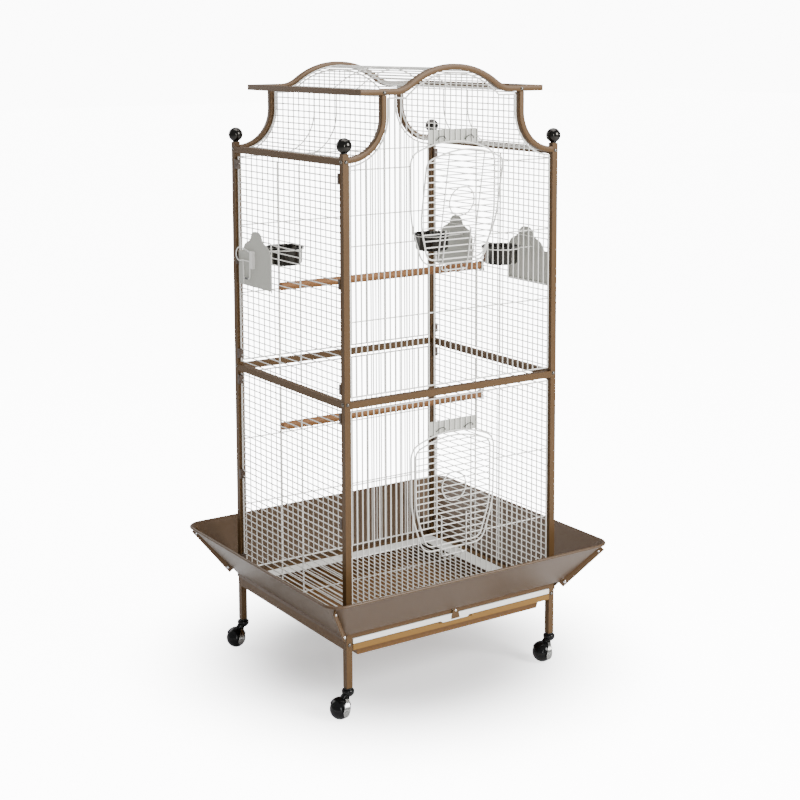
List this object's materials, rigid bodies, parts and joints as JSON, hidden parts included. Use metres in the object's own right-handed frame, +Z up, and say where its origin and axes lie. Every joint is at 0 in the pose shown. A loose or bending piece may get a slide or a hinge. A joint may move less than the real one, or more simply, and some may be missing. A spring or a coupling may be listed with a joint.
{
  "type": "bird cage on stand",
  "caption": "Tall wire bird cage with a pagoda roof, two front doors, side feeder doors with cups, seed skirt, slide-out grille and tray, on a castored stand.",
  "frame": {"origin": "on the floor, under the middle of the cage", "axes": "+Z up; the front with its two doors faces -Y; +X is to the right seen from the front"},
  "size_m": [0.834, 0.742, 1.529],
  "materials": {
    "frame": "bronze brown textured powder coat",
    "wire": "off-white powder coat",
    "feeder_plate": "pale grey satin powder coat",
    "tray": "gold brown satin powder coat",
    "finial": "dark antiqued plating",
    "cup": "bright stainless steel",
    "caster_metal": "bright chrome plating",
    "caster_ball": "glossy black",
    "perch": "plain turned hardwood"
  },
  "bodies": {
    "cage": {"front_left_post": "frame", "front_left_curved_bar": "frame", "front_left_ball_finial": "finial", "front_right_post": "frame", "front_right_curved_bar": "frame", "front_right_ball_finial": "finial", "back_left_post": "frame", "back_left_curved_bar": "frame", "back_left_ball_finial": "finial", "back_right_post": "frame", "back_right_curved_bar": "frame", "back_right_ball_finial": "finial", "front_middle_rail": "frame", "front_arch_bar": "frame", "back_middle_rail": "frame", "back_arch_bar": "frame", "left_middle_rail": "frame", "left_top_rail": "frame", "left_shoulder_rail": "frame", "right_middle_rail": "frame", "right_top_rail": "frame", "right_shoulder_rail": "frame", "front_lower_panel": "wire", "back_lower_panel": "wire", "left_lower_panel": "wire", "right_lower_panel": "wire", "front_upper_panel": "wire", "back_upper_panel": "wire", "left_upper_panel": "wire", "right_upper_panel": "wire", "roof_top_panel": "wire", "left_roof_panel": "wire", "right_roof_panel": "wire", "upper_perch": "perch", "lower_perch": "perch", "front_skirt": "frame", "back_skirt": "frame", "left_skirt": "frame", "right_skirt": "frame", "stand_frame": "frame"},
    "lower_door": {"lower_door": "wire"},
    "upper_door": {"upper_door": "wire"},
    "grille_drawer": {"floor_grille": "wire", "grille_drawer_front": "wire"},
    "drawer_latch": {"drawer_latch": "frame"},
    "tray_drawer": {"debris_tray": "tray"},
    "left_feeder": {"left_feeder_door": "feeder_plate"},
    "left_cup": {"left_feeder_cup": "cup"},
    "back_right_feeder": {"back_right_feeder_door": "feeder_plate"},
    "back_right_cup": {"back_right_feeder_cup": "cup"},
    "front_right_feeder": {"front_right_feeder_door": "feeder_plate"},
    "front_right_cup": {"front_right_feeder_cup": "cup"},
    "front_left_swivel": {"front_left_caster_hood": "caster_metal"},
    "front_left_ball": {"front_left_caster_ball": "caster_ball"},
    "front_right_swivel": {"front_right_caster_hood": "caster_metal"},
    "front_right_ball": {"front_right_caster_ball": "caster_ball"},
    "back_left_swivel": {"back_left_caster_hood": "caster_metal"},
    "back_left_ball": {"back_left_caster_ball": "caster_ball"},
    "back_right_swivel": {"back_right_caster_hood": "caster_metal"},
    "back_right_ball": {"back_right_caster_ball": "caster_ball"}
  },
  "joints": [
    {"name": "lower_door_hinge", "type": "hinge", "parent": "cage", "child": "lower_door", "pos_m": [0, -0.2631, 0.341], "axis": [1, 0, 0], "range_deg": [0, 95]},
    {"name": "upper_door_hinge", "type": "hinge", "parent": "cage", "child": "upper_door", "pos_m": [0, -0.2631, 1.041], "axis": [1, 0, 0], "range_deg": [-10.4, 139.6]},
    {"name": "left_feeder_hinge", "type": "hinge", "parent": "cage", "child": "left_feeder", "pos_m": [-0.3092, 0.077, 0.969], "axis": [0, 0, 1], "range_deg": [0, 105]},
    {"name": "left_cup_lift", "type": "slide", "parent": "left_feeder", "child": "left_cup", "axis": [0, 0, 1], "range_m": [0, 0.06]},
    {"name": "back_right_feeder_hinge", "type": "hinge", "parent": "cage", "child": "back_right_feeder", "pos_m": [0.3092, 0.077, 0.969], "axis": [0, 0, -1], "range_deg": [0, 105]},
    {"name": "back_right_cup_lift", "type": "slide", "parent": "back_right_feeder", "child": "back_right_cup", "axis": [0, 0, 1], "range_m": [0, 0.06]},
    {"name": "front_right_feeder_hinge", "type": "hinge", "parent": "cage", "child": "front_right_feeder", "pos_m": [0.3092, -0.077, 0.969], "axis": [0, 0, 1], "range_deg": [0, 105]},
    {"name": "front_right_cup_lift", "type": "slide", "parent": "front_right_feeder", "child": "front_right_cup", "axis": [0, 0, 1], "range_m": [0, 0.06]},
    {"name": "grille_slide", "type": "slide", "parent": "cage", "child": "grille_drawer", "axis": [0, -1, 0], "range_m": [0, 0.45]},
    {"name": "latch_turn", "type": "hinge", "parent": "grille_drawer", "child": "drawer_latch", "pos_m": [0, -0.269, 0.199], "axis": [0, 1, 0], "range_deg": [-175, 175]},
    {"name": "tray_slide", "type": "slide", "parent": "cage", "child": "tray_drawer", "axis": [0, -1, 0], "range_m": [0, 0.45]},
    {"name": "front_left_caster_swivel", "type": "hinge", "parent": "cage", "child": "front_left_swivel", "pos_m": [-0.305, -0.259, 0.072], "axis": [0, 0, 1], "continuous": true},
    {"name": "front_left_ball_roll", "type": "hinge", "parent": "front_left_swivel", "child": "front_left_ball", "pos_m": [-0.327, -0.259, 0.025], "axis": [0, 1, 0], "continuous": true},
    {"name": "front_right_caster_swivel", "type": "hinge", "parent": "cage", "child": "front_right_swivel", "pos_m": [0.305, -0.259, 0.072], "axis": [0, 0, 1], "continuous": true},
    {"name": "front_right_ball_roll", "type": "hinge", "parent": "front_right_swivel", "child": "front_right_ball", "pos_m": [0.283, -0.259, 0.025], "axis": [0, 1, 0], "continuous": true},
    {"name": "back_left_caster_swivel", "type": "hinge", "parent": "cage", "child": "back_left_swivel", "pos_m": [-0.305, 0.259, 0.072], "axis": [0, 0, 1], "continuous": true},
    {"name": "back_left_ball_roll", "type": "hinge", "parent": "back_left_swivel", "child": "back_left_ball", "pos_m": [-0.327, 0.259, 0.025], "axis": [0, 1, 0], "continuous": true},
    {"name": "back_right_caster_swivel", "type": "hinge", "parent": "cage", "child": "back_right_swivel", "pos_m": [0.305, 0.259, 0.072], "axis": [0, 0, 1], "continuous": true},
    {"name": "back_right_ball_roll", "type": "hinge", "parent": "back_right_swivel", "child": "back_right_ball", "pos_m": [0.283, 0.259, 0.025], "axis": [0, 1, 0], "continuous": true}
  ]
}
